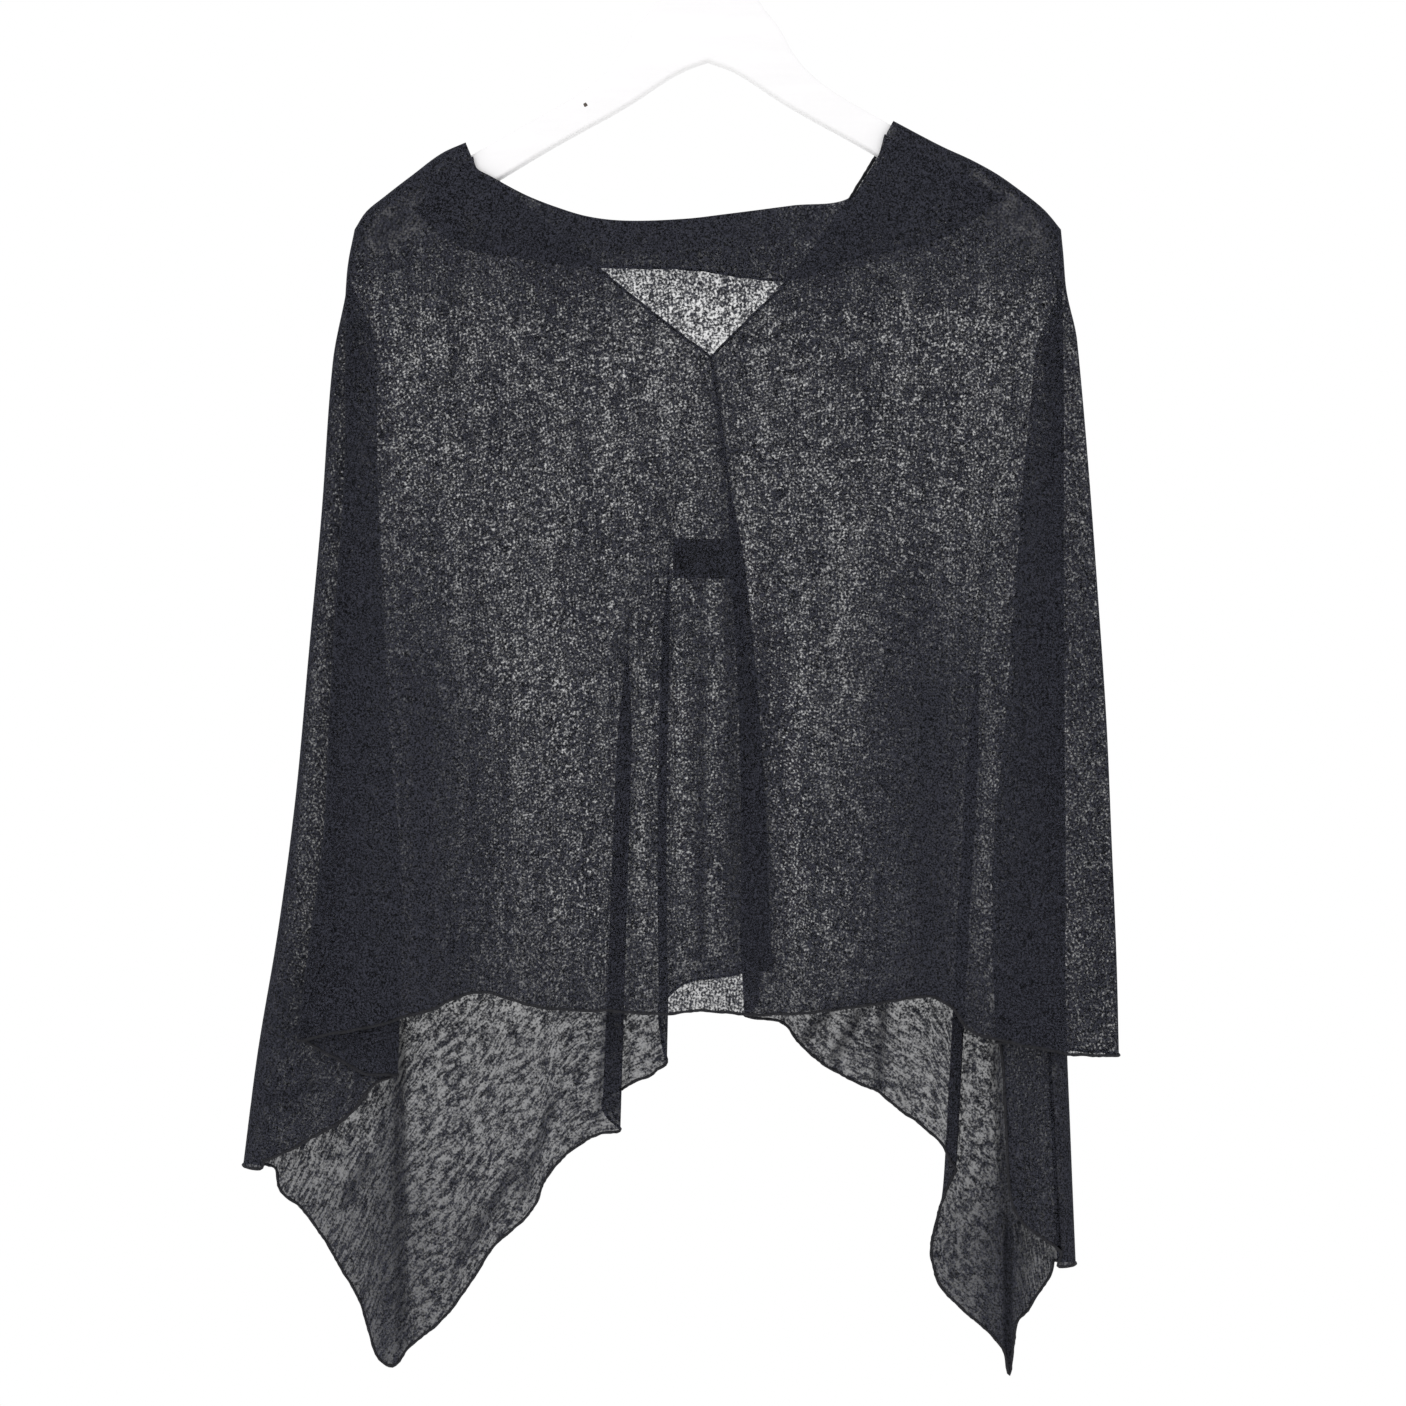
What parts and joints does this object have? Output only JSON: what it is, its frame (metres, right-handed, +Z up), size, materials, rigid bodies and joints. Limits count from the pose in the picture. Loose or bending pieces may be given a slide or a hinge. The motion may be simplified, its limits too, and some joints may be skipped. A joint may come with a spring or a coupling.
{
  "type": "poncho on a hanger",
  "caption": "Sheer knit poncho on a painted wooden hanger, with a turned-in neck edge, folded sides and a hem that falls to points behind.",
  "frame": {"origin": "inner top of the hanger's hook, where a rail carries it", "axes": "+X to the right seen from the front, +Z up, and the front faces -Y"},
  "size_m": [0.5505, 0.05, 0.9404],
  "materials": {
    "knit": "sheer fine knit",
    "label": "plain woven satin",
    "painted_wood": "white satin paint",
    "hook_steel": "polished"
  },
  "bodies": {
    "root": {"front_panel": "knit", "left_side_fold": "knit", "right_side_fold": "knit", "back_left_panel": "knit", "back_right_panel": "knit", "label": "label", "hanger_bar": "painted_wood", "hanger_hook": "hook_steel"}
  },
  "joints": []
}
